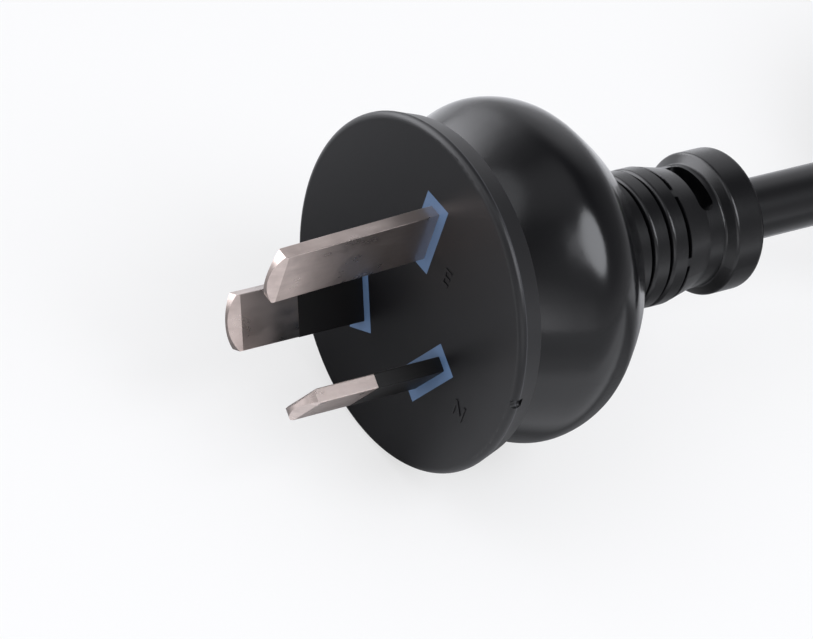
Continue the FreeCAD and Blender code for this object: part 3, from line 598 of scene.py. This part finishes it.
def makePlain(name):
    colour, rough, departs = plainLooks[name]
    look = {**plainGrain, **departs}
    change = look["change"]
    material, tree, shader = newMaterial(name)
    place = addNode(tree, "ShaderNodeTexCoord")
    cloud = addNode(tree, "ShaderNodeTexNoise", Scale=look["cloud"], Detail=3.0)
    tree.links.new(place.outputs["Object"], cloud.inputs["Vector"])
    mix = addNode(tree, "ShaderNodeMix", data_type="RGBA")
    mix.inputs[6].default_value = (*[c * (1 - change) for c in colour], 1)
    mix.inputs[7].default_value = (*[min(1, c * (1 + change)) for c in colour], 1)
    tree.links.new(cloud.outputs["Fac"], mix.inputs[0])
    tree.links.new(mix.outputs[2], shader.inputs["Base Color"])
    shader.inputs["Roughness"].default_value = rough
    shader.inputs["Specular IOR Level"].default_value = look["specular"]
    shader.inputs["Metallic"].default_value = look["metal"]
    addGrain(tree, shader, look["grain"], look["strength"], look["depth"])
    return material


# Woven strap: fine ribs along it, crossed by the weft's noise. The grooves between the ribs are
# painted darker: painted shade.
strapLook = {"rib": (0.011, 0.011, 0.012, 1), "grooveShade": (0.004, 0.004, 0.0045, 1),
             "ribScale": 330.0, "weftScale": 1500.0, "rough": 0.75, "bump": 0.6,
             "bumpDepth": 0.0001}


def makeStrapMaterial():
    material, tree, shader = newMaterial("strap_black")
    place = addNode(tree, "ShaderNodeTexCoord")
    ribs = addNode(tree, "ShaderNodeTexWave", bands_direction="Y", Scale=strapLook["ribScale"],
                   Distortion=0.5, Detail=1.0)
    weft = addNode(tree, "ShaderNodeTexNoise", Scale=strapLook["weftScale"], Detail=2.0)
    woven = addNode(tree, "ShaderNodeMath", operation="MULTIPLY")
    mix = addNode(tree, "ShaderNodeMix", data_type="RGBA")
    # painted shade: the grooves between the ribs are darker than the ribs
    mix.inputs[6].default_value = strapLook["grooveShade"]
    mix.inputs[7].default_value = strapLook["rib"]
    bump = addNode(tree, "ShaderNodeBump", Strength=strapLook["bump"],
                   Distance=strapLook["bumpDepth"])
    tree.links.new(place.outputs["Object"], ribs.inputs["Vector"])
    tree.links.new(place.outputs["Object"], weft.inputs["Vector"])
    tree.links.new(ribs.outputs["Fac"], woven.inputs[0])
    tree.links.new(weft.outputs["Fac"], woven.inputs[1])
    tree.links.new(woven.outputs["Value"], mix.inputs[0])
    tree.links.new(woven.outputs["Value"], bump.inputs["Height"])
    tree.links.new(mix.outputs[2], shader.inputs["Base Color"])
    tree.links.new(bump.outputs["Normal"], shader.inputs["Normal"])
    shader.inputs["Roughness"].default_value = strapLook["rough"]
    return material


def giveMaterial(piece, material):
    piece.data.materials.clear()
    piece.data.materials.append(material)


# Floor and lights

studio = {
    "floorSize": 3.0, "floorMiddle": 0.05, "floorRough": 0.9,
    "floorColour": (0.8, 0.8, 0.8, 1), "floorGlow": 0.66,
    # the floor's painted light and shade in reflections, by X less a part of Y in millimetres
    "floorPaintedSlant": 0.6,
    "floorPaintedLightAndShade": [(-60, 1.0), (-43, 0.9), (-30, 0.42), (-22, 0.32), (-10, 0.15), (3, 0.28),
                      (8, 0.22), (13, 0.9), (26, 0.85), (44, 0.95), (60, 0.6), (110, 0.45)],
    "skyGlow": 0.75, "skyTint": (0.95, 0.955, 1.0), "lampTint": (0.93, 0.95, 1.0),
    "skyMirrored": [(0.0, 0.6), (0.5, 0.6), (0.55, 0.5), (0.655, 0.24), (0.83, 0.15), (0.9, 0.08),
                    (0.96, 0.12), (1.0, 0.5)],  # by height, up from straight down
}

# Each lamp: compass direction from +Y towards +X and height above the floor in degrees,
# distance, width and height in metres, and brightness.
lamps = {
    "rightSoftbox": {"around": 70, "above": 50, "away": 0.8, "size": (0.52, 0.56), "glow": 4.1},
    "frontSoftbox": {"around": -160, "above": 60, "away": 0.9, "size": (0.9, 0.5), "glow": 0.9},
}

# Soft glows of the sky that only reflections show: direction, full brightness, and how it
# falls off by the cosine of the angle from the glow's middle.
skyGlows = {
    "left": {"around": -115, "above": 8, "glow": 4.6,
             "stops": [(0.0, 0.0), (0.5, 0.02), (0.62, 0.05), (0.74, 0.14), (0.84, 0.5),
                       (0.93, 1.0)]},
    "behind": {"around": -46, "above": 27, "glow": 0.5,
               "stops": [(0.0, 0.0), (0.84, 0.02), (0.93, 0.5), (0.98, 1.0)]},
    "front": {"around": 125, "above": -5, "glow": 1.5,
              "stops": [(0.0, 0.0), (0.29, 0.04), (0.53, 0.08), (0.766, 0.13), (0.883, 0.42),
                        (0.98, 1.0)]},
}


def directionOf(thing):
    around, above = math.radians(thing["around"]), math.radians(thing["above"])
    return Vector((math.sin(around) * math.cos(above), math.cos(around) * math.cos(above),
                   math.sin(above)))


def setStops(ramp, stops):
    while len(ramp.elements) < len(stops):
        ramp.elements.new(0.5)
    for element, (stop, tone) in zip(ramp.elements, stops):
        element.position = stop
        element.color = (tone, tone, tone, 1)


# White to the camera with a soft shadow. In reflections it shows painted light and shade that
# change across the floor.
def makeFloor():
    clearSelection()
    bpy.ops.mesh.primitive_plane_add(size=studio["floorSize"],
                                     location=(0, studio["floorMiddle"], floorHeight))
    floor = bpy.context.object
    floor.name = "studio_floor"
    bpy.ops.object.transform_apply(location=True)
    material, tree, shader = newMaterial("studio_floor")
    shader.inputs["Roughness"].default_value = studio["floorRough"]
    place = addNode(tree, "ShaderNodeTexCoord")
    split = addNode(tree, "ShaderNodeSeparateXYZ")
    aside = addNode(tree, "ShaderNodeMath", operation="MULTIPLY_ADD")
    aside.inputs[1].default_value = -studio["floorPaintedSlant"]
    along = addNode(tree, "ShaderNodeMapRange")
    near, far = studio["floorPaintedLightAndShade"][0][0], studio["floorPaintedLightAndShade"][-1][0]
    along.inputs["From Min"].default_value = near * mm
    along.inputs["From Max"].default_value = far * mm
    # painted light and shade: the floor's tone in reflections, set across the floor by this ramp
    paintedFloorShade = addNode(tree, "ShaderNodeValToRGB")
    setStops(paintedFloorShade.color_ramp, [((spot - near) / (far - near), tone)
                                 for spot, tone in studio["floorPaintedLightAndShade"]])
    tint = addNode(tree, "ShaderNodeMix", data_type="RGBA")
    tint.inputs[6].default_value = studio["floorColour"]
    tree.links.new(place.outputs["Object"], split.inputs["Vector"])
    tree.links.new(split.outputs["Y"], aside.inputs[0])
    tree.links.new(split.outputs["X"], aside.inputs[2])
    tree.links.new(aside.outputs["Value"], along.inputs["Value"])
    tree.links.new(along.outputs["Result"], paintedFloorShade.inputs["Fac"])
    tree.links.new(paintedFloorShade.outputs["Color"], tint.inputs[7])
    tree.links.new(tint.outputs[2], shader.inputs["Base Color"])
    glow = addNode(tree, "ShaderNodeEmission", Strength=1.0)
    path = addNode(tree, "ShaderNodeLightPath")
    seen = addNode(tree, "ShaderNodeMath", operation="MULTIPLY")
    seen.inputs[1].default_value = studio["floorGlow"]
    mix = addNode(tree, "ShaderNodeMixShader")
    tree.links.new(path.outputs["Is Camera Ray"], seen.inputs[0])
    tree.links.new(path.outputs["Is Glossy Ray"], tint.inputs[0])
    tree.links.new(seen.outputs["Value"], mix.inputs["Fac"])
    tree.links.new(shader.outputs["BSDF"], mix.inputs[1])
    tree.links.new(glow.outputs["Emission"], mix.inputs[2])
    tree.links.new(mix.outputs["Shader"], tree.nodes["Material Output"].inputs["Surface"])
    floor.data.materials.append(material)


def makeLights():
    world = bpy.data.worlds.new("studio")
    bpy.context.scene.world = world
    world.use_nodes = True
    tree = world.node_tree
    back = tree.nodes["Background"]
    place = addNode(tree, "ShaderNodeTexCoord")
    split = addNode(tree, "ShaderNodeSeparateXYZ")
    height = addNode(tree, "ShaderNodeMapRange")
    height.inputs["From Min"].default_value = -1
    ramp = addNode(tree, "ShaderNodeValToRGB")
    setStops(ramp.color_ramp, studio["skyMirrored"])
    path = addNode(tree, "ShaderNodeLightPath")
    plain = addNode(tree, "ShaderNodeMix", data_type="RGBA")
    plain.inputs[6].default_value = (*[tone * studio["skyGlow"] for tone in studio["skyTint"]], 1)
    plain.inputs[7].default_value = (1, 1, 1, 1)
    mix = addNode(tree, "ShaderNodeMix", data_type="RGBA")
    tree.links.new(path.outputs["Is Camera Ray"], plain.inputs[0])
    tree.links.new(plain.outputs[2], mix.inputs[6])
    tree.links.new(place.outputs["Generated"], split.inputs["Vector"])
    tree.links.new(split.outputs["Z"], height.inputs["Value"])
    tree.links.new(height.outputs["Result"], ramp.inputs["Fac"])
    tree.links.new(path.outputs["Is Glossy Ray"], mix.inputs[0])
    brightness = ramp.outputs["Color"]
    for glow in skyGlows.values():
        towards = addNode(tree, "ShaderNodeVectorMath", operation="DOT_PRODUCT")
        towards.inputs[1].default_value = directionOf(glow)
        fall = addNode(tree, "ShaderNodeValToRGB")
        setStops(fall.color_ramp, glow["stops"])
        total = addNode(tree, "ShaderNodeMath", operation="MULTIPLY_ADD")
        total.inputs[1].default_value = glow["glow"]
        tree.links.new(place.outputs["Generated"], towards.inputs[0])
        tree.links.new(towards.outputs["Value"], fall.inputs["Fac"])
        tree.links.new(fall.outputs["Color"], total.inputs[0])
        tree.links.new(brightness, total.inputs[2])
        brightness = total.outputs["Value"]
    tinted = addNode(tree, "ShaderNodeVectorMath", operation="SCALE")
    tinted.inputs[0].default_value = studio["skyTint"]
    tree.links.new(brightness, tinted.inputs["Scale"])
    tree.links.new(tinted.outputs["Vector"], mix.inputs[7])
    tree.links.new(mix.outputs[2], back.inputs["Color"])
    for name, lamp in lamps.items():
        away = directionOf(lamp)
        clearSelection()
        bpy.ops.object.light_add(type="AREA", location=away * lamp["away"])
        light = bpy.context.object
        light.name = name
        light.data.shape = "ELLIPSE"
        light.data.color = studio["lampTint"]
        light.data.size, light.data.size_y = lamp["size"]
        light.data.energy = lamp["glow"] * math.pi * lamp["size"][0] * lamp["size"][1]
        light.rotation_euler = away.to_track_quat("Z", "Y").to_euler()


bpy.context.scene.view_settings.view_transform = "Standard"
placeCamera()
cord, cordRoute = makeCord()
strap = makeStrap()
tails = makeTails(cordRoute)
letters = makeLetters()
print("cord, strap, stripped end and letters made")

makeGrainGroup()
blackOvermould = makeOvermouldMaterial()
blades = {name: makeBladeMaterial(name + "_plating", share)
          for name, share in bladeLook["bladeShadeShare"].items()}
plain = {name: makePlain(name) for name in plainLooks}
for name, material in {"plug_body": blackOvermould, "pin_holder": plain["insert_blue"], **blades,
                       "active_sleeve": plain["sleeve_black"],
                       "neutral_sleeve": plain["sleeve_black"]}.items():
    giveMaterial(nodes[name], material)
for line, colour in {"earth": "earth_green", "active": "active_brown",
                     "neutral": "neutral_blue"}.items():
    for name in (line + "_core", line + "_conductor"):
        giveMaterial(nodes[name], plain[colour if name.endswith("core") else "copper"])
    giveMaterial(bpy.data.objects[line + "_tail"], plain[colour])
    giveMaterial(bpy.data.objects[line + "_strands"], plain["copper"])
giveMaterial(letters, blackOvermould)
giveMaterial(cord, plain["sheath_black"])
giveMaterial(strap, makeStrapMaterial())
print("materials given")

makeFloor()
makeLights()
print("studio made")
